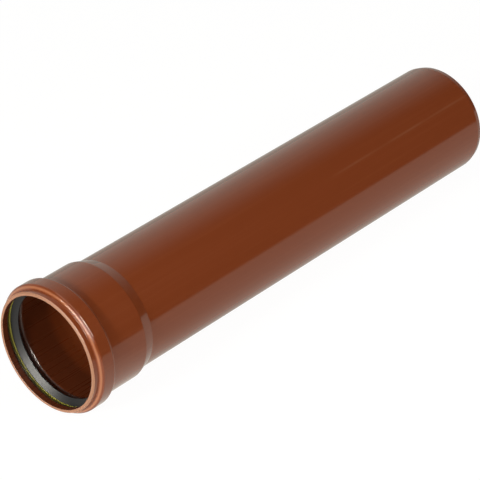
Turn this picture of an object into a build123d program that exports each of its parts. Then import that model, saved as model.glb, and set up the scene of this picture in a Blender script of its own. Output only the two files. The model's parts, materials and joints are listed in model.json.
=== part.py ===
from build123d import *
import os
from math import asin, atan2, cos, degrees, hypot, radians, sin, tan

# A short length of PVC-U sewer pipe, DN 110, with one formed ring seal socket.
# Stations are millimetres from the socket mouth along the pipe, radii are from its axis.

# Pipe
pipe_diameter = 110.0       # outside, also of the spigot
wall = 3.2                  # the same all along, as the socket is formed from the pipe
laying_length = 500.0       # what one pipe adds to a run
insertion_depth = 53.0      # length of the next spigot that the socket takes up
spigot_chamfer = 5.4        # length of the chamfer on the plain end
chamfer_angle = 15.0        # to the axis

# Socket
socket_clearance = 0.9      # bore over pipe, on the diameter
socket_length = 65.5        # mouth to the start of the cone, outside
cone_length = 11.8
cone_round = 3.0            # corner radius at both ends of the cone
mouth_bevel = 1.04          # outer corner of the end face
mouth_break = 0.3           # inner corner of the end face

# Bead, which holds the seal
groove_depth = 4.4          # bore to groove floor, and socket to bead outside
lip_length = 5.7            # mouth to the foot of the bead
front_slope = 1.8           # run of the shoulder that faces the mouth
bead_width = 14.0           # flat top of the bead
rear_slope = 4.0            # run of the shoulder that faces the pipe
front_round = 3.0           # corner radius at the top of the front shoulder
rear_round = 2.0            # corner radius at the top of the rear shoulder
foot_round = 0.8            # corner radius at the foot of both shoulders

# Retaining ring, a plastic hoop that keeps the seal in its groove
seat_gap = 0.2              # hoop and seal to the groove wall
hoop_width = 2.4            # along the groove floor
hoop_thickness = 0.8
flange_height = 1.45        # rim against the seal, from the hoop's outside
flange_width = 0.9
flange_round = 0.4          # edge of the rim that faces the mouth

# Sealing ring, a rubber lip seal
heel_width = 7.6            # seat in the groove
heel_thickness = 2.65
lip_bite = 3.0              # how far the lip reaches inside the radius of a spigot
lip_lean = 33.0             # degrees from square to the axis, towards the pipe
lip_root = 3.0              # along the axis
lip_tip = 1.7               # thickness at the lip's edge
tip_round = 0.7

# Radii
pipe_radius = pipe_diameter / 2
socket_bore = pipe_radius + socket_clearance / 2
socket_radius = socket_bore + wall
bead_radius = socket_radius + groove_depth
groove_radius = socket_bore + groove_depth
seat_radius = groove_radius - seat_gap

# Stations on the outside
bead_start = lip_length + front_slope
bead_end = bead_start + bead_width
bead_foot = bead_end + rear_slope
cone_end = socket_length + cone_length
total_length = laying_length + insertion_depth
chamfer_start = total_length - spigot_chamfer
spigot_drop = spigot_chamfer * tan(radians(chamfer_angle))

# Stations in the groove, where the wall turns with the bead
front_turn = atan2(groove_depth, front_slope)
rear_turn = atan2(groove_depth, rear_slope)
groove_start = bead_start + wall * tan(front_turn / 2)
hoop_start = groove_start + seat_gap
hoop_end = hoop_start + hoop_width

# Resting line under the pipe, from the round of the bead to the corner of the spigot chamfer
round_centre = bead_end - rear_round * tan(rear_turn / 2)
rest_run = chamfer_start - round_centre
rest_drop = bead_radius - rear_round - pipe_radius
tilt = atan2(rest_drop, rest_run) + asin(rear_round / hypot(rest_run, rest_drop))
axis_height = chamfer_start * sin(tilt) + pipe_radius * cos(tilt)
mouth_face_radius = socket_radius - mouth_bevel
spigot_face_radius = pipe_radius - spigot_drop
middle = (total_length * cos(tilt) + (spigot_face_radius - mouth_face_radius) * sin(tilt)) / 2


def skin():
    """Outside of the pipe, from the socket mouth to the plain end."""
    points = [
        (0, socket_radius),
        (lip_length, socket_radius),
        (bead_start, bead_radius),
        (bead_end, bead_radius),
        (bead_foot, socket_radius),
        (socket_length, socket_radius),
        (cone_end, pipe_radius),
        (total_length, pipe_radius),
    ]
    rounds = [foot_round, front_round, rear_round, foot_round, cone_round, cone_round]
    return FilletPolyline(*points, radius=rounds)


def corner(section, station, radius):
    """The section's corner nearest to a place."""
    return section.vertices().sort_by_distance((station, radius))[0]


def turned(section):
    """Solid of revolution about the pipe's axis."""
    return revolve(Plane.XZ * section, axis=Axis.X)


def pipe():
    """Barrel and socket in one piece, a wall of even thickness."""
    section = make_face(offset(skin(), amount=-wall, side=Side.RIGHT))
    section = chamfer(corner(section, 0, socket_radius), mouth_bevel)
    section = chamfer(corner(section, 0, socket_bore), mouth_break)
    section -= make_face(Polyline(
        (chamfer_start, pipe_radius),
        (total_length, pipe_radius),
        (total_length, spigot_face_radius),
        close=True,
    ))
    return turned(section)


def retaining_ring():
    """Thin hoop on the groove floor, with a low rim against the seal."""
    hoop_radius = seat_radius - hoop_thickness
    flange_radius = seat_radius - flange_height
    flange_start = hoop_end - flange_width
    section = make_face(Polyline(
        (hoop_start, seat_radius),
        (hoop_end, seat_radius),
        (hoop_end, flange_radius),
        (flange_start, flange_radius),
        (flange_start, hoop_radius),
        (hoop_start, hoop_radius),
        close=True,
    ))
    return turned(fillet(corner(section, flange_start, flange_radius), flange_round))


def sealing_ring():
    """Rubber seal: a heel in the groove and a lip that leans towards the pipe."""
    lean = radians(lip_lean)
    start_radius = seat_radius - flange_height
    heel_radius = seat_radius - heel_thickness
    tip_radius = pipe_radius - lip_bite
    tip_station = hoop_end + (start_radius - tip_radius) * tan(lean)
    root_station = hoop_end + (start_radius - heel_radius) * tan(lean) + lip_root
    heel_end = hoop_end + heel_width
    tip = (tip_station, tip_radius)
    tip_back = (tip_station + lip_tip * cos(lean), tip_radius + lip_tip * sin(lean))
    root = (root_station, heel_radius)
    section = make_face(Polyline(
        (hoop_end, seat_radius),
        (hoop_end, start_radius),
        tip,
        tip_back,
        root,
        (heel_end, heel_radius),
        (heel_end, seat_radius),
        close=True,
    ))
    section = fillet(corner(section, *tip), tip_round)
    section = fillet(corner(section, *tip_back), tip_round)
    return turned(section)


def laid(solid):
    """Lays the pipe down on the bead and the spigot, over the middle of the model."""
    return Pos(-middle, 0, axis_height) * Rot(0, degrees(tilt), 0) * solid


os.makedirs("parts", exist_ok=True)
export_step(laid(pipe()), "parts/pipe.step")
export_step(laid(retaining_ring()), "parts/retaining_ring.step")
export_step(laid(sealing_ring()), "parts/sealing_ring.step")

print("total length", round(total_length, 2))
print("tilt in degrees", round(degrees(tilt), 4))
print("axis height at the mouth", round(axis_height, 3), "middle", round(middle, 3))
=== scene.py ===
import json
import math

import bmesh
import bpy
from mathutils import Matrix, Quaternion, Vector


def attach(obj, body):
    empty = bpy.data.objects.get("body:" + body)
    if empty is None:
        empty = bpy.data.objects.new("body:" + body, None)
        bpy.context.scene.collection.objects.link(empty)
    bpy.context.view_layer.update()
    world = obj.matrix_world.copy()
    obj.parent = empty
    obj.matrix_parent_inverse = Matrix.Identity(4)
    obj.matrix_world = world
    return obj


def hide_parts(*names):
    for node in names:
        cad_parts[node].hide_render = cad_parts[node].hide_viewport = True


# A short PVC-U sewer pipe with its ring seal socket, lying on a pale studio floor.
# Stations run in millimetres from the socket mouth along the pipe, radii from its axis.

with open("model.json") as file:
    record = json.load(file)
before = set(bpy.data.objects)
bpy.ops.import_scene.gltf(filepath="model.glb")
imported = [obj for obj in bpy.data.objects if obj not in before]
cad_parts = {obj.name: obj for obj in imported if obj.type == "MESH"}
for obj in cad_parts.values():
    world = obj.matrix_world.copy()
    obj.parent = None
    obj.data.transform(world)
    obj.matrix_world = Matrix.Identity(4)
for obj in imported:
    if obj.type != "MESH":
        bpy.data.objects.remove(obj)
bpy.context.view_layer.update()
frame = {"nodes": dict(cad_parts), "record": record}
millimetre = 0.001
print("frame loaded:", ", ".join(sorted(frame["nodes"])))


# The pipe in millimetres
pipeSizes = {
    "diameter": 110.0,         # outside, also of the plain end
    "wall": 3.2,
    "length": 553.0,
    "spigotChamfer": 5.4,      # along the plain end
    "chamferAngle": 15.0,      # degrees to the axis
    "socketClearance": 0.9,    # bore over pipe, on the diameter
    "socketLength": 65.5,      # mouth to the start of the cone
    "coneLength": 11.8,
    "coneRound": 3.0,
    "mouthBevel": 1.04,        # outer corner of the end face
    "mouthBreak": 0.3,         # inner corner of the end face
    "grooveDepth": 4.4,        # socket to bead, inside and outside
    "lipLength": 5.7,          # mouth to the foot of the bead
    "frontSlope": 1.8,         # run of the shoulder that faces the mouth
    "beadWidth": 14.0,         # flat top of the bead
    "rearSlope": 4.0,          # run of the shoulder that faces the pipe
    "frontRound": 3.0,
    "rearRound": 2.0,
    "footRound": 0.8,
    "toolCorner": 60.8,        # radius of the first of two corners in the front round
    "toolEnd": 8.5,            # station of the second
    "toolRounds": (2.4, 1.6),  # rounds of the two
    "toolFoot": 0.1,           # round at the foot of the front shoulder, outside
    "edgeSoftness": 0.12,      # arrises that the saw and the chamfer tool leave
    "breakSoftness": 0.06,     # the same at the inner corner of the end face
    "chamferSoftness": 0.48,   # where the chamfer starts
    "steps": 256,              # facets round the pipe
}
pipeRadius = pipeSizes["diameter"] / 2
socketBore = pipeRadius + pipeSizes["socketClearance"] / 2
socketRadius = socketBore + pipeSizes["wall"]
beadRadius = socketRadius + pipeSizes["grooveDepth"]
grooveRadius = socketBore + pipeSizes["grooveDepth"]
beadStart = pipeSizes["lipLength"] + pipeSizes["frontSlope"]
beadEnd = beadStart + pipeSizes["beadWidth"]
chamferStart = pipeSizes["length"] - pipeSizes["spigotChamfer"]
spigotDrop = pipeSizes["spigotChamfer"] * math.tan(math.radians(pipeSizes["chamferAngle"]))
spigotFaceRadius = pipeRadius - spigotDrop


# The pipe's axis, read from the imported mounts.
# The socket mount lies half way along the inner wall of the mouth lip.
frontTurn = math.atan2(pipeSizes["grooveDepth"], pipeSizes["frontSlope"])
lipEnd = pipeSizes["lipLength"] - pipeSizes["footRound"] * math.tan(frontTurn / 2)
lipMiddle = (pipeSizes["mouthBreak"] + lipEnd) / 2
mounts = {mount["name"]: mount for mount in frame["record"]["mounts"]}
axisDirection = Vector(mounts["spigot"]["axis"]).normalized()
axisTilt = math.atan2(-axisDirection.z, axisDirection.x)
mouthCentre = Vector(mounts["socket"]["pos_m"]) - axisDirection * lipMiddle * millimetre
pipeFrame = Matrix.Translation(mouthCentre) @ Matrix.Rotation(axisTilt, 4, "Y")


# Small helpers for colours, nodes and turned shapes
def hexToLinear(code):
    channels = [int(code[i:i + 2], 16) / 255 for i in (1, 3, 5)]
    linear = [c / 12.92 if c <= 0.04045 else ((c + 0.055) / 1.055) ** 2.4 for c in channels]
    return (*linear, 1.0)


def addNode(tree, kind, inputs=None, **settings):
    node = tree.nodes.new(kind)
    for name, value in settings.items():
        setattr(node, name, value)
    for name, value in (inputs or {}).items():
        if isinstance(value, bpy.types.NodeSocket):
            tree.links.new(value, node.inputs[name])
        else:
            node.inputs[name].default_value = value
    return node


def emptyTree(owner):
    owner.use_nodes = True
    owner.node_tree.nodes.clear()
    return owner.node_tree


def pipeCoordinates(tree):
    # Object coordinates turned so that X is the station in metres and the axis is at Y = Z = 0
    place = addNode(tree, "ShaderNodeTexCoord").outputs["Object"]
    inputs = {"Vector": place, "Location": mouthCentre, "Rotation": (0, axisTilt, 0)}
    return addNode(tree, "ShaderNodeMapping", inputs, vector_type="TEXTURE").outputs[0]


def axisDistance(tree, place):
    # Metres from the pipe's axis
    square = addNode(tree, "ShaderNodeVectorMath", {0: place, 1: (0, 1, 1)}, operation="MULTIPLY")
    length = addNode(tree, "ShaderNodeVectorMath", {0: square.outputs[0]}, operation="LENGTH")
    return length.outputs["Value"]


facetValues = {
    "cornerStep": 7,          # degrees that one facet of a rounded corner turns
    "mergeDistance": 0.001,   # millimetres
    "sharpAngle": 32,         # degrees, steeper edges stay crisp
}


def turnedPiece(name, corners, steps):
    # Corners are (station, radius, rounding) in order round the section
    bm = bmesh.new()
    points = [bm.verts.new((station, 0, radius)) for station, radius, rounding in corners]
    bm.faces.new(points)
    for point, (station, radius, rounding) in zip(points, corners):
        if rounding <= 0:
            continue
        before, after = [(edge.other_vert(point).co - point.co).normalized() for edge in point.link_edges]
        turn = math.pi - before.angle(after)
        segments = max(2, math.ceil(math.degrees(turn) / facetValues["cornerStep"]))
        bmesh.ops.bevel(bm, geom=[point], offset=rounding * math.tan(turn / 2), offset_type="OFFSET",
                        segments=segments, profile=0.5, affect="VERTICES", material=-1)
    bmesh.ops.delete(bm, geom=bm.faces[:], context="FACES_ONLY")
    bmesh.ops.spin(bm, geom=bm.verts[:] + bm.edges[:], cent=(0, 0, 0), axis=(1, 0, 0), dvec=(0, 0, 0),
                   angle=2 * math.pi, steps=steps, use_merge=True)
    bmesh.ops.remove_doubles(bm, verts=bm.verts[:], dist=facetValues["mergeDistance"])
    bmesh.ops.scale(bm, vec=(millimetre,) * 3, verts=bm.verts[:])
    bmesh.ops.transform(bm, matrix=pipeFrame, verts=bm.verts[:])
    bmesh.ops.recalc_face_normals(bm, faces=bm.faces[:])
    for face in bm.faces:
        face.smooth = True
    mesh = bpy.data.meshes.new(name)
    bm.to_mesh(mesh)
    bm.free()
    mesh.set_sharp_from_angle(angle=math.radians(facetValues["sharpAngle"]))
    piece = bpy.data.objects.new(name, mesh)
    bpy.context.scene.collection.objects.link(piece)
    weighted = piece.modifiers.new("evenShading", "WEIGHTED_NORMAL")
    weighted.keep_sharp = True
    return piece


# Pipe
def insideCorners(outside, wall):
    # The bore follows the outside one wall thickness in, so each corner moves along its mitre
    found = []
    for before, here, after in zip(outside, outside[1:], outside[2:]):
        first = (Vector(here[:2]) - Vector(before[:2])).normalized()
        second = (Vector(after[:2]) - Vector(here[:2])).normalized()
        inward = Vector((first.y, -first.x)) + Vector((second.y, -second.x))
        shift = inward * wall / (1 + first.dot(second))
        bulges = first.x * second.y - first.y * second.x < 0
        rounding = here[2] - wall if bulges else here[2] + wall
        found.append((here[0] + shift.x, here[1] + shift.y, rounding))
    return found


def makePipe():
    size = pipeSizes
    soft = size["edgeSoftness"]
    mouth = [
        (size["mouthBreak"], socketBore, size["breakSoftness"]),
        (0, socketBore + size["mouthBreak"], size["breakSoftness"]),
        (0, socketRadius - size["mouthBevel"], soft),
        (size["mouthBevel"], socketRadius, soft),
    ]
    # Outside, the forming tool leaves two softer corners in the large round in front
    rise = (size["toolCorner"] - socketRadius) / size["grooveDepth"]
    beadFront = [
        (size["lipLength"], socketRadius, size["toolFoot"]),
        (size["lipLength"] + size["frontSlope"] * rise, size["toolCorner"], size["toolRounds"][0]),
        (size["toolEnd"], beadRadius, size["toolRounds"][1]),
    ]
    behindFront = [
        (beadEnd, beadRadius, size["rearRound"]),
        (beadEnd + size["rearSlope"], socketRadius, size["footRound"]),
        (size["socketLength"], socketRadius, size["coneRound"]),
        (size["socketLength"] + size["coneLength"], pipeRadius, size["coneRound"]),
    ]
    spigot = [
        (chamferStart, pipeRadius, size["chamferSoftness"]),
        (size["length"], spigotFaceRadius, soft),
        (size["length"], pipeRadius - size["wall"], soft),
    ]
    # Inside, the front of the bead keeps one plain round
    plainFront = [
        (0, socketRadius, 0),
        (size["lipLength"], socketRadius, size["footRound"]),
        (beadStart, beadRadius, size["frontRound"]),
    ]
    bore = insideCorners(plainFront + behindFront + [(size["length"], pipeRadius, 0)], size["wall"])
    return turnedPiece("pipe_wall", mouth + beadFront + behindFront + spigot + bore[::-1], size["steps"])


# Retaining ring, a thin plastic hoop with a low rim against the seal, in millimetres
retainingSizes = {
    "seatGap": 0.2,         # to the groove wall
    "hoopWidth": 2.4,
    "hoopThickness": 0.8,
    "flangeHeight": 1.45,   # rim, from the hoop's outside
    "flangeWidth": 0.9,
    "flangeRound": 0.4,     # edge of the rim that faces the mouth
    "edgeRound": 0.12,
    "steps": 192,
}
grooveStart = beadStart + pipeSizes["wall"] * math.tan(frontTurn / 2)
seatRadius = grooveRadius - retainingSizes["seatGap"]
hoopStart = grooveStart + retainingSizes["seatGap"]
hoopEnd = hoopStart + retainingSizes["hoopWidth"]
hoopRadius = seatRadius - retainingSizes["hoopThickness"]


def makeRetainingRing():
    size = retainingSizes
    flangeRadius = seatRadius - size["flangeHeight"]
    flangeStart = hoopEnd - size["flangeWidth"]
    corners = [
        (hoopStart, seatRadius, size["edgeRound"]),
        (hoopEnd, seatRadius, 0),
        (hoopEnd, flangeRadius, size["edgeRound"]),
        (flangeStart, flangeRadius, size["flangeRound"]),
        (flangeStart, hoopRadius, 0),
        (hoopStart, hoopRadius, size["edgeRound"]),
    ]
    return turnedPiece("retaining_hoop", corners, size["steps"])


# Sealing ring, a heel in the groove and a lip that leans towards the pipe, in millimetres
sealSizes = {
    "heelWidth": 7.6,
    "heelThickness": 2.65,
    "lipBite": 3.0,         # how far the lip reaches inside the radius of a spigot
    "lipLean": 33.0,        # degrees from square to the axis
    "lipRoot": 3.0,         # along the axis
    "lipTip": 1.7,          # thickness at the lip's edge
    "tipRound": 0.7,
    "edgeRound": 0.3,
    "steps": 192,
}


def makeSealingRing():
    size = sealSizes
    lean = math.radians(size["lipLean"])
    startRadius = seatRadius - retainingSizes["flangeHeight"]
    heelRadius = seatRadius - size["heelThickness"]
    heelEnd = hoopEnd + size["heelWidth"]
    tipRadius = pipeRadius - size["lipBite"]
    tipStation = hoopEnd + (startRadius - tipRadius) * math.tan(lean)
    tipBack = (tipStation + size["lipTip"] * math.cos(lean), tipRadius + size["lipTip"] * math.sin(lean))
    rootStation = hoopEnd + (startRadius - heelRadius) * math.tan(lean) + size["lipRoot"]
    corners = [
        (hoopEnd, seatRadius, 0),
        (hoopEnd, startRadius, 0),
        (tipStation, tipRadius, size["tipRound"]),
        (*tipBack, size["tipRound"]),
        (rootStation, heelRadius, size["edgeRound"]),
        (heelEnd, heelRadius, size["edgeRound"]),
        (heelEnd, seatRadius, 0),
    ]
    return turnedPiece("seal_rubber_ring", corners, size["steps"])


noiseSpan = (0.3, 0.7)      # between these lie nearly all values of a noise texture

# Extruded PVC-U: pigmented orange-brown right through, drawn through a die and cooled in water.
# To the eye: a deep red-brown under a clear gloss, with faint streaks along the pipe from the die.
pvcLook = {
    "colour": "#833F21",
    "roughness": (0.09, 0.14),       # of the smoothest and the dullest streak
    "ior": 1.54,
    "streakColour": "#8A4628",
    "streakSpan": (0.45, 0.75),      # values of the noise between which a streak comes
    "streakShare": 0.35,             # of its colour, where it is palest
    "streakWidth": 3.0,              # millimetres round the pipe
    "streakStretch": 0.012,          # across against along
    "dieLineColour": "#965F46",
    "dieLineAngle": 46.5,            # degrees up from the side, towards the camera
    "dieLineTurn": 4.8,              # degrees that the line wanders in a metre
    "dieLineWidth": 3.96,            # millimetres, faded out to both sides
    "dieLineStart": (310.0, 370.0),  # stations between which it comes
    "dieLineBreak": 55.56,           # millimetres between the clearer stretches
    "dieLineSpan": (0.35, 0.65),     # values of the noise from the faintest to the clearest stretch
    "dieLineShare": (0.05, 0.4),     # of its colour, in the faintest and in the clearest
    "paintedLightColour": "#B4714E",         # painted highlight: a paler tone on the bead's front shoulder, which faces the mouth lamps
    "paintedLightStart": (5.85, 6.5),        # stations between which it comes
    "paintedLightEnd": (6.8, 7.7),           # and goes
    "rippleWidth": 9.0,              # millimetres, the faint waviness of the cooled skin
    "rippleDepth": 0.0075,           # millimetres
}
# Painted shade: the bore is coloured darker than the outside, as the inside of the pipe lies in shade.
# Before stations 51 to 61 the dark tone also stands for the seal's painted shadow on the bore.
# The second tone after them is painted light, where light past the seal falls; it goes on past the plain
# end.
paintedShadeBoreLook = pvcLook | {
    "colour": "#622D16",
    "roughness": (0.26, 0.31),
    "streakColour": "#66321B",
    # painted light on the bore beyond the seal's painted shadow
    "paintedLightColour": "#7A391A",
    "paintedLightStart": (51.0, 61.0),
    "paintedLightEnd": (600.0, 700.0),
    "rippleDepth": 0.001,
}


def dieLineMask(tree, place, station, look):
    # One faint line along the barrel, broken in places
    across, up = addNode(tree, "ShaderNodeSeparateXYZ", {0: place}).outputs[1:]
    outward = addNode(tree, "ShaderNodeMath", {0: across, 1: -1.0}, operation="MULTIPLY").outputs[0]
    angle = addNode(tree, "ShaderNodeMath", {0: up, 1: outward}, operation="ARCTAN2").outputs[0]
    turn, start = math.radians(look["dieLineTurn"]), math.radians(look["dieLineAngle"])
    centre = addNode(tree, "ShaderNodeMath", {0: station, 1: turn, 2: start}, operation="MULTIPLY_ADD")
    beside = addNode(tree, "ShaderNodeMath", {0: angle, 1: centre.outputs[0]}, operation="SUBTRACT")
    apart = addNode(tree, "ShaderNodeMath", {0: beside.outputs[0]}, operation="ABSOLUTE")
    line = addNode(tree, "ShaderNodeMapRange",
                   {"Value": apart.outputs[0], "From Min": look["dieLineWidth"] / 2 / pipeRadius,
                    "From Max": 0.0}, interpolation_type="SMOOTHSTEP")
    begun = addNode(tree, "ShaderNodeMapRange",
                    {"Value": station, "From Min": look["dieLineStart"][0] * millimetre,
                     "From Max": look["dieLineStart"][1] * millimetre}, interpolation_type="SMOOTHSTEP")
    noise = addNode(tree, "ShaderNodeTexNoise",
                    {"Vector": place, "Scale": 1 / (look["dieLineBreak"] * millimetre), "Detail": 1.0})
    share = addNode(tree, "ShaderNodeMapRange",
                    {"Value": noise.outputs["Fac"],
                     "From Min": look["dieLineSpan"][0], "From Max": look["dieLineSpan"][1],
                     "To Min": look["dieLineShare"][0], "To Max": look["dieLineShare"][1]},
                    interpolation_type="SMOOTHSTEP")
    whole = addNode(tree, "ShaderNodeMath", {0: line.outputs[0], 1: begun.outputs[0]}, operation="MULTIPLY")
    return addNode(tree, "ShaderNodeMath", {0: whole.outputs[0], 1: share.outputs[0]},
                   operation="MULTIPLY").outputs[0]


def paintedLightMask(tree, station, look):
    # Painted light: a paler tone between two stations
    coming = addNode(tree, "ShaderNodeMapRange",
                     {"Value": station, "From Min": look["paintedLightStart"][0] * millimetre,
                      "From Max": look["paintedLightStart"][1] * millimetre}, interpolation_type="SMOOTHSTEP")
    staying = addNode(tree, "ShaderNodeMapRange",
                      {"Value": station, "From Min": look["paintedLightEnd"][1] * millimetre,
                       "From Max": look["paintedLightEnd"][0] * millimetre}, interpolation_type="SMOOTHSTEP")
    return addNode(tree, "ShaderNodeMath", {0: coming.outputs[0], 1: staying.outputs[0]},
                   operation="MULTIPLY").outputs[0]


def makePvc(name, look):
    material = bpy.data.materials.new(name)
    tree = emptyTree(material)
    place = pipeCoordinates(tree)
    station = addNode(tree, "ShaderNodeSeparateXYZ", {0: place}).outputs[0]
    # Stations are pressed together, which draws the streaks out along the pipe
    pressed = addNode(tree, "ShaderNodeVectorMath", {0: place, 1: (look["streakStretch"], 1, 1)},
                      operation="MULTIPLY").outputs[0]
    streaks = addNode(tree, "ShaderNodeTexNoise",
                      {"Vector": pressed, "Scale": 1 / (look["streakWidth"] * millimetre),
                       "Detail": 2.0, "Roughness": 0.6}).outputs["Fac"]
    streakShare = addNode(tree, "ShaderNodeMapRange",
                          {"Value": streaks, "From Min": look["streakSpan"][0],
                           "From Max": look["streakSpan"][1], "To Min": 0.0,
                           "To Max": look["streakShare"]}, interpolation_type="SMOOTHSTEP")
    streaked = addNode(tree, "ShaderNodeMix",
                       {"Factor": streakShare.outputs[0], "A": hexToLinear(look["colour"]),
                        "B": hexToLinear(look["streakColour"])}, data_type="RGBA")
    # Painted light laid over the streaked colour between two stations
    paintedLit = addNode(tree, "ShaderNodeMix",
                     {"Factor": paintedLightMask(tree, station, look), "A": streaked.outputs["Result"],
                      "B": hexToLinear(look["paintedLightColour"])}, data_type="RGBA")
    lined = addNode(tree, "ShaderNodeMix",
                    {"Factor": dieLineMask(tree, place, station, look), "A": paintedLit.outputs["Result"],
                     "B": hexToLinear(look["dieLineColour"])}, data_type="RGBA")
    roughness = addNode(tree, "ShaderNodeMapRange",
                        {"Value": streaks, "From Min": noiseSpan[0], "From Max": noiseSpan[1],
                         "To Min": look["roughness"][0], "To Max": look["roughness"][1]})
    ripple = addNode(tree, "ShaderNodeTexNoise",
                     {"Vector": pressed, "Scale": 1 / (look["rippleWidth"] * millimetre), "Detail": 1.0})
    bump = addNode(tree, "ShaderNodeBump",
                   {"Height": ripple.outputs["Fac"], "Distance": look["rippleDepth"] * millimetre})
    shader = addNode(tree, "ShaderNodeBsdfPrincipled",
                     {"Base Color": lined.outputs["Result"], "Roughness": roughness.outputs[0],
                      "IOR": look["ior"], "Normal": bump.outputs[0]})
    addNode(tree, "ShaderNodeOutputMaterial", {"Surface": shader.outputs[0]})
    return material


# Sawn PVC-U: the same plastic where a saw and a chamfer tool have cut it.
# To the eye: paler and matt, with fine rings round the end.
sawnLook = {
    "colour": "#A76E4F",
    "paleRing": "#B48063",
    "roughness": 0.5,
    "ior": 1.54,
    "ringPitch": 0.5,       # millimetres, drawn coarser than the real marks so that they show
    "ringDepth": 0.05,      # millimetres
    "ringStrength": 0.4,    # share of that depth
}


def makeSawnPvc():
    look = sawnLook
    material = bpy.data.materials.new("sawnPvc")
    tree = emptyTree(material)
    rings = addNode(tree, "ShaderNodeTexNoise",
                    {"W": axisDistance(tree, pipeCoordinates(tree)),
                     "Scale": 1 / (look["ringPitch"] * millimetre), "Detail": 2.0},
                    noise_dimensions="1D").outputs["Fac"]
    colour = addNode(tree, "ShaderNodeMix",
                     {"Factor": rings, "A": hexToLinear(look["colour"]),
                      "B": hexToLinear(look["paleRing"])}, data_type="RGBA")
    bump = addNode(tree, "ShaderNodeBump",
                   {"Height": rings, "Strength": look["ringStrength"],
                    "Distance": look["ringDepth"] * millimetre})
    shader = addNode(tree, "ShaderNodeBsdfPrincipled",
                     {"Base Color": colour.outputs["Result"], "Roughness": look["roughness"],
                      "IOR": look["ior"], "Normal": bump.outputs[0]})
    addNode(tree, "ShaderNodeOutputMaterial", {"Surface": shader.outputs[0]})
    return material


# Moulded rubber: black, smooth from its mould, with a trace of grease.
# To the eye: dark grey with broad soft highlights.
rubberLook = {
    "colour": "#212124",
    "roughness": (0.33, 0.46),
    "ior": 1.45,
    "grain": 0.8,           # millimetres
    "grainDepth": 0.03,     # millimetres
    "grainStrength": 0.3,   # share of that depth
}


def makeRubber():
    look = rubberLook
    material = bpy.data.materials.new("mouldedRubber")
    tree = emptyTree(material)
    grain = addNode(tree, "ShaderNodeTexNoise",
                    {"Vector": pipeCoordinates(tree), "Scale": 1 / (look["grain"] * millimetre),
                     "Detail": 3.0}).outputs["Fac"]
    roughness = addNode(tree, "ShaderNodeMapRange",
                        {"Value": grain, "From Min": noiseSpan[0], "From Max": noiseSpan[1],
                         "To Min": look["roughness"][0], "To Max": look["roughness"][1]})
    bump = addNode(tree, "ShaderNodeBump",
                   {"Height": grain, "Strength": look["grainStrength"],
                    "Distance": look["grainDepth"] * millimetre})
    shader = addNode(tree, "ShaderNodeBsdfPrincipled",
                     {"Base Color": hexToLinear(look["colour"]), "Roughness": roughness.outputs[0],
                      "IOR": look["ior"], "Normal": bump.outputs[0]})
    addNode(tree, "ShaderNodeOutputMaterial", {"Surface": shader.outputs[0]})
    return material


# Moulded polypropylene: yellow-green, slightly waxy.
# Its body is darkened to olive, painted shade where it sits in the groove.
# Its thin rim is pale, painted light where the mouth lamps strike it: to the eye a bright thin ring beside
# the black seal.
hoopLookWithPaintedLight = {
    # the hoop's yellow-green darkened to olive: painted shade in the groove
    "colour": "#756E08",
    "rimPaintedLight": "#DCD656",     # painted light: the thin edge beside the seal, where the mouth lamps strike it
    "rimPaintedLightMargin": 0.05,          # millimetres in from the hoop, where the rim's painted light starts
    "roughness": (0.4, 0.5),
    "ior": 1.49,
    "mottle": 4.0,              # millimetres
}


def makeHoopPlastic():
    look = hoopLookWithPaintedLight
    material = bpy.data.materials.new("polypropyleneWithPaintedLight")
    tree = emptyTree(material)
    place = pipeCoordinates(tree)
    mottle = addNode(tree, "ShaderNodeTexNoise",
                     {"Vector": place, "Scale": 1 / (look["mottle"] * millimetre), "Detail": 2.0})
    roughness = addNode(tree, "ShaderNodeMapRange",
                        {"Value": mottle.outputs["Fac"], "From Min": noiseSpan[0],
                         "From Max": noiseSpan[1], "To Min": look["roughness"][0],
                         "To Max": look["roughness"][1]})
    # Painted light on the rim, the part nearer the axis than the hoop's inside
    onPaintedLightRim = addNode(tree, "ShaderNodeMath",
                    {0: axisDistance(tree, place), 1: (hoopRadius - look["rimPaintedLightMargin"]) * millimetre},
                    operation="LESS_THAN")
    colour = addNode(tree, "ShaderNodeMix",
                     {"Factor": onPaintedLightRim.outputs[0], "A": hexToLinear(look["colour"]),
                      "B": hexToLinear(look["rimPaintedLight"])}, data_type="RGBA")
    shader = addNode(tree, "ShaderNodeBsdfPrincipled",
                     {"Base Color": colour.outputs["Result"], "Roughness": roughness.outputs[0],
                      "IOR": look["ior"]})
    addNode(tree, "ShaderNodeOutputMaterial", {"Surface": shader.outputs[0]})
    return material


# Dressing the pieces
pipe = makePipe()
retainingRing = makeRetainingRing()
sealingRing = makeSealingRing()
for pvc in (makePvc("extrudedPvc", pvcLook), makeSawnPvc(), makePvc("paintedShadeBorePvc", paintedShadeBoreLook)):
    pipe.data.materials.append(pvc)
cutIndex, boreIndex = 1, 2      # places in that list
cutMargin = 0.02                # millimetres, facets this near to an end face count as cut
toPipe = pipeFrame.inverted()
for polygon in pipe.data.polygons:
    centre = toPipe @ polygon.center
    facing = toPipe.to_3x3() @ polygon.normal
    station = centre.x / millimetre
    if station < pipeSizes["mouthBevel"] - cutMargin or station > pipeSizes["length"] - cutMargin:
        polygon.material_index = cutIndex
    elif facing.y * centre.y + facing.z * centre.z < 0:
        polygon.material_index = boreIndex
retainingRing.data.materials.append(makeHoopPlastic())
sealingRing.data.materials.append(makeRubber())
for piece, node, slot in ((pipe, "pipe", "pvc"), (retainingRing, "retaining_ring", "retaining_plastic"),
                          (sealingRing, "sealing_ring", "seal_rubber")):
    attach(piece, "root")
    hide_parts(node)
    print("piece made:", piece.name, len(piece.data.polygons), "faces")


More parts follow.
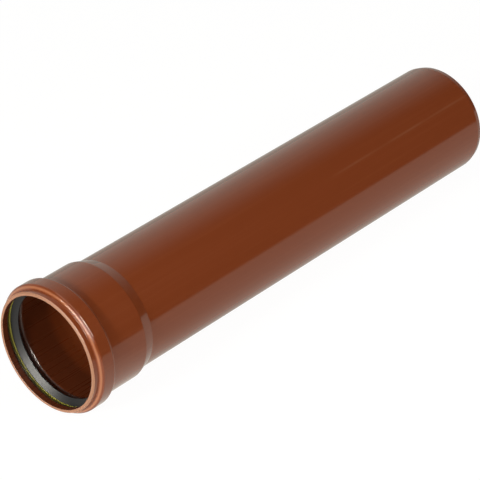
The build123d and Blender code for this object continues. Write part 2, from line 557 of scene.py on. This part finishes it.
# Studio floor: pale card that ends in front of the pipe, so its edge shows in the gloss
floorValues = {
    "front": -0.63,                 # its four edges in metres
    "back": 2.2,
    "left": -0.85,
    "right": 2.4,
    "colour": "#E6E4E1",
    "shownWhite": 0.92,             # share of the floor that the camera sees as plain white
    "whiteLevel": 1.05,
    "mirrored": (0.84, 0.59),       # brightness in reflections, near the mouth and behind it
    "mirroredTurn": (-0.21, -0.12),  # X in metres between which it changes
    "bounce": 1.1,                  # brightness as a source of soft light on the pieces
    "tint": (1.0, 0.98, 0.88),
}


def makeCard():
    look = floorValues
    material = bpy.data.materials.new("paleCard")
    tree = emptyTree(material)
    rays = addNode(tree, "ShaderNodeLightPath").outputs
    card = addNode(tree, "ShaderNodeBsdfDiffuse", {"Color": hexToLinear(look["colour"])})
    white = addNode(tree, "ShaderNodeEmission", {"Color": (1, 1, 1, 1), "Strength": look["whiteLevel"]})
    place = addNode(tree, "ShaderNodeTexCoord").outputs["Object"]
    along = addNode(tree, "ShaderNodeSeparateXYZ", {0: place}).outputs[0]
    mirrored = addNode(tree, "ShaderNodeMapRange",
                       {"Value": along,
                        "From Min": look["mirroredTurn"][0], "From Max": look["mirroredTurn"][1],
                        "To Min": look["mirrored"][0], "To Max": look["mirrored"][1]},
                       interpolation_type="SMOOTHSTEP")
    given = addNode(tree, "ShaderNodeMapRange",
                    {"Value": rays["Is Diffuse Ray"], "To Min": mirrored.outputs[0],
                     "To Max": look["bounce"]})
    lit = addNode(tree, "ShaderNodeEmission", {"Color": (*look["tint"], 1), "Strength": given.outputs[0]})
    shown = addNode(tree, "ShaderNodeMixShader",
                    {0: look["shownWhite"], 1: card.outputs[0], 2: white.outputs[0]})
    surface = addNode(tree, "ShaderNodeMixShader",
                      {0: rays["Is Camera Ray"], 1: lit.outputs[0], 2: shown.outputs[0]})
    addNode(tree, "ShaderNodeOutputMaterial", {"Surface": surface.outputs[0]})
    return material


def makeFloor():
    size = floorValues
    width, depth = size["right"] - size["left"], size["back"] - size["front"]
    middle = Vector(((size["right"] + size["left"]) / 2, (size["back"] + size["front"]) / 2, 0))
    bm = bmesh.new()
    bmesh.ops.create_grid(bm, x_segments=1, y_segments=1, size=1)
    bmesh.ops.scale(bm, vec=(width / 2, depth / 2, 1), verts=bm.verts[:])
    bmesh.ops.translate(bm, vec=middle, verts=bm.verts[:])
    mesh = bpy.data.meshes.new("studio_floor")
    bm.to_mesh(mesh)
    bm.free()
    mesh.materials.append(makeCard())
    floor = bpy.data.objects.new("studio_floor", mesh)
    bpy.context.scene.collection.objects.link(floor)


# Studio room: white to the camera, with almost no light of its own on the pieces. In reflections
# a pale wall stands behind the pipe and fades overhead, and the room in front is dark.
roomLook = {
    "wallDirection": (0.45, 0.89, 0.0),
    "wallMirrored": 0.82,       # brightness in reflections, of the wall
    "roomMirrored": 0.015,      # and of the rest
    "roomBrightness": 0.02,     # as a light on the pieces
    "wallSpan": (0.15, 1.1),    # cosines to the wall's direction between which it comes
    "tint": (1.0, 0.98, 0.88),
}


def makeRoom():
    look = roomLook
    world = bpy.data.worlds.new("studio_room")
    bpy.context.scene.world = world
    tree = emptyTree(world)
    direction = addNode(tree, "ShaderNodeTexCoord").outputs["Generated"]
    wall = Vector(look["wallDirection"]).normalized()
    facing = addNode(tree, "ShaderNodeVectorMath", {0: direction, 1: wall}, operation="DOT_PRODUCT")
    rays = addNode(tree, "ShaderNodeLightPath").outputs
    mirrored = addNode(tree, "ShaderNodeMapRange",
                       {"Value": facing.outputs["Value"],
                        "From Min": look["wallSpan"][0], "From Max": look["wallSpan"][1],
                        "To Min": look["roomMirrored"], "To Max": look["wallMirrored"]},
                       interpolation_type="SMOOTHSTEP")
    strength = addNode(tree, "ShaderNodeMapRange",
                       {"Value": rays["Is Glossy Ray"], "To Min": look["roomBrightness"],
                        "To Max": mirrored.outputs[0]})
    around = addNode(tree, "ShaderNodeBackground",
                     {"Color": (*look["tint"], 1), "Strength": strength.outputs[0]})
    shown = addNode(tree, "ShaderNodeBackground", {"Color": (1, 1, 1, 1), "Strength": 1.0})
    mixed = addNode(tree, "ShaderNodeMixShader",
                    {0: rays["Is Camera Ray"], 1: around.outputs[0], 2: shown.outputs[0]})
    addNode(tree, "ShaderNodeOutputWorld", {"Surface": mixed.outputs[0]})


# Soft boxes: places and sizes in metres, power in watts, turn in degrees about the lamp's own aim.
# A lamp without diffuse shows only in the gloss, and one without glossy lights only the colour.
lampTint = (1.0, 0.97, 0.89)
mouthAim = (-0.27, 0, 0.06)
middleAim = (0, 0, 0.05)
lamps = {
    # Broad light from above
    "overhead": {"place": (-0.23, 0, 2.34), "aim": middleAim, "size": (2.4, 2.4), "power": 22.0},
    # Soft light on the mouth and in the bore, with a highlight on the bead's shoulder
    "mouthFill": {"place": (-1.766, -0.561, 0.62), "aim": mouthAim, "size": (0.9, 0.7), "power": 5.0},
    # Lights the end face, the shoulder and the bore, and stays out of the gloss between lip and bead
    "mouthKey": {"place": (-1.718, -0.12, 0.729), "aim": mouthAim, "size": (0.25, 0.25), "power": 16.2,
                 "glossy": False},
    # Draws the sheen on the seal and the long thin line on the front of the bead
    "mouthStrip": {"place": (-1.602, 0.027, 0.577), "aim": mouthAim, "size": (1.2, 0.1), "power": 42.0,
                   "turn": -24.5, "diffuse": False},
    # Lifts the side of the pipe that faces the camera
    "frontFill": {"place": (0.2, -1.29, 1.14), "aim": middleAim, "size": (0.6, 0.6), "power": 7.5},
    # Draws the short second line on the bead and a glint behind the seal
    "ridgeStrip": {"place": (-0.555, -0.975, 1.14), "aim": mouthAim, "size": (0.12, 0.85), "power": 36.0,
                   "diffuse": False},
}


def makeLamp(name, values):
    light = bpy.data.lights.new(name, "AREA")
    light.shape = "RECTANGLE"
    light.size, light.size_y = values["size"]
    light.energy = values["power"]
    light.color = lampTint
    lamp = bpy.data.objects.new(name, light)
    lamp.location = values["place"]
    aim = Vector(values["aim"]) - Vector(values["place"])
    turn = Quaternion((0, 0, 1), math.radians(values.get("turn", 0)))
    lamp.rotation_euler = (aim.to_track_quat("-Z", "Y") @ turn).to_euler()
    lamp.visible_camera = False
    lamp.visible_diffuse = values.get("diffuse", True)
    lamp.visible_glossy = values.get("glossy", True)
    bpy.context.scene.collection.objects.link(lamp)


makeFloor()
makeRoom()
for lampName, lampValues in lamps.items():
    makeLamp(lampName, lampValues)
print("stage and lamps set:", ", ".join(lamps))


# Camera, at the photograph's viewing angle
cameraValues = {
    "azimuth": -48.005,     # degrees round from the front
    "elevation": 34.174,    # degrees
    "distance": 2.3728,     # metres from the aim
    "aim": (-0.01696, 0.00552, 0.04988),
    "lens": 188.78,         # millimetres
    "sensor": 36.0,         # millimetres
}


def makeCamera():
    values = cameraValues
    azimuth, elevation = math.radians(values["azimuth"]), math.radians(values["elevation"])
    back = Vector((math.sin(azimuth) * math.cos(elevation), -math.cos(azimuth) * math.cos(elevation),
                   math.sin(elevation)))
    optics = bpy.data.cameras.new("camera")
    optics.lens = values["lens"]
    optics.sensor_width = values["sensor"]
    camera = bpy.data.objects.new("camera", optics)
    camera.location = Vector(values["aim"]) + back * values["distance"]
    camera.rotation_euler = (-back).to_track_quat("-Z", "Y").to_euler()
    bpy.context.scene.collection.objects.link(camera)
    bpy.context.scene.camera = camera


makeCamera()
bpy.context.scene.view_settings.view_transform = "Standard"
print("camera set")
